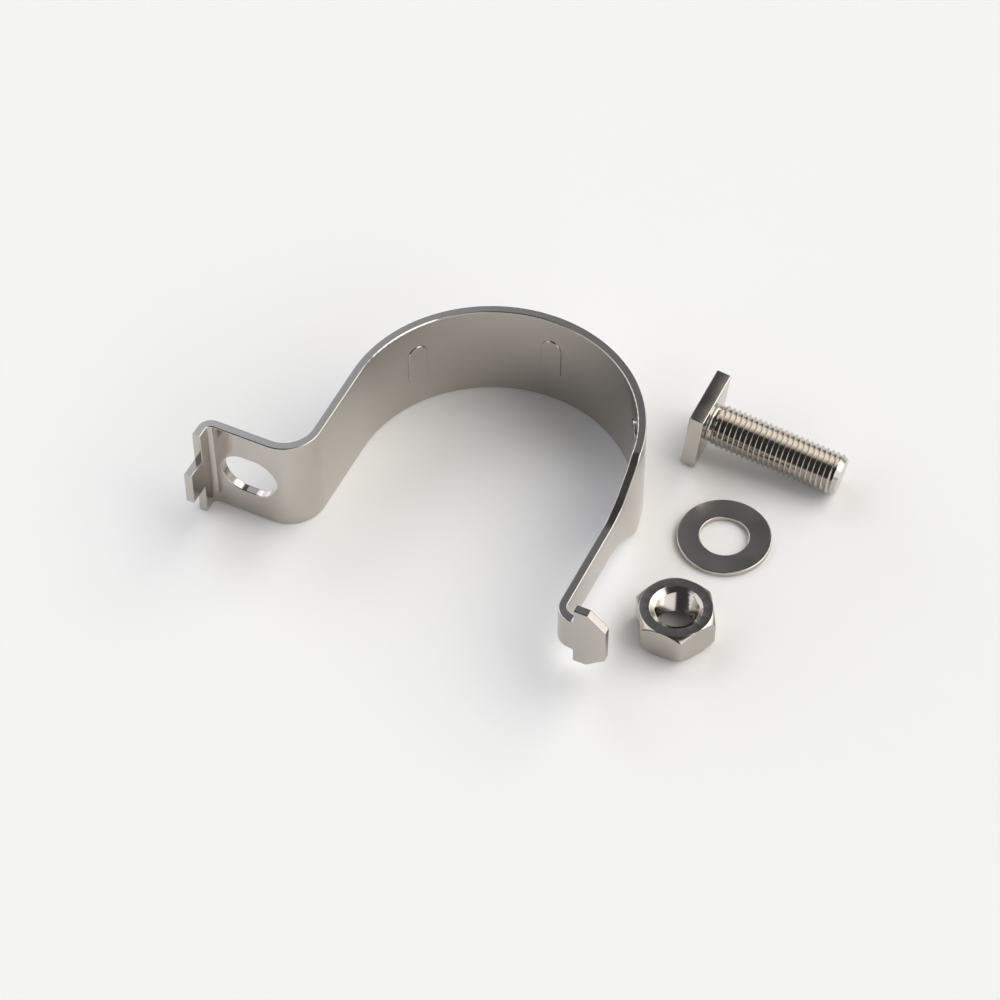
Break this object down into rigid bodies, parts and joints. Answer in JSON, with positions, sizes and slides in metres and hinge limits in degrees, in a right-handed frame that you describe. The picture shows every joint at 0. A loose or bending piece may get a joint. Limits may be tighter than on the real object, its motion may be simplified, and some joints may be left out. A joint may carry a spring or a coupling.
{
  "type": "sign post clamp",
  "caption": "Strap clamp for a round post: folded steel band with slotted ear, tongue and hooked head, laid out with its square-head bolt, washer and nut.",
  "frame": {"origin": "on the axis of the post that the band wraps, at the surface the band's lower edge rests on", "axes": "+Z along the post's axis, +Y out through the middle of the wrap, legs along -Y, ear on -X and hooked head, bolt, washer and nut on +X"},
  "size_m": [0.1006, 0.0632, 0.02],
  "materials": {
    "band_steel": "smooth stainless strip, satin, warm grey",
    "bolt_steel": "bright stainless, turned threads",
    "washer_steel": "bright stainless, flat faces",
    "nut_steel": "bright stainless, chamfered corners"
  },
  "bodies": {
    "root": {"clamp_band": "band_steel", "square_head_bolt": "bolt_steel", "flat_washer": "washer_steel", "hex_nut": "nut_steel"}
  },
  "joints": []
}
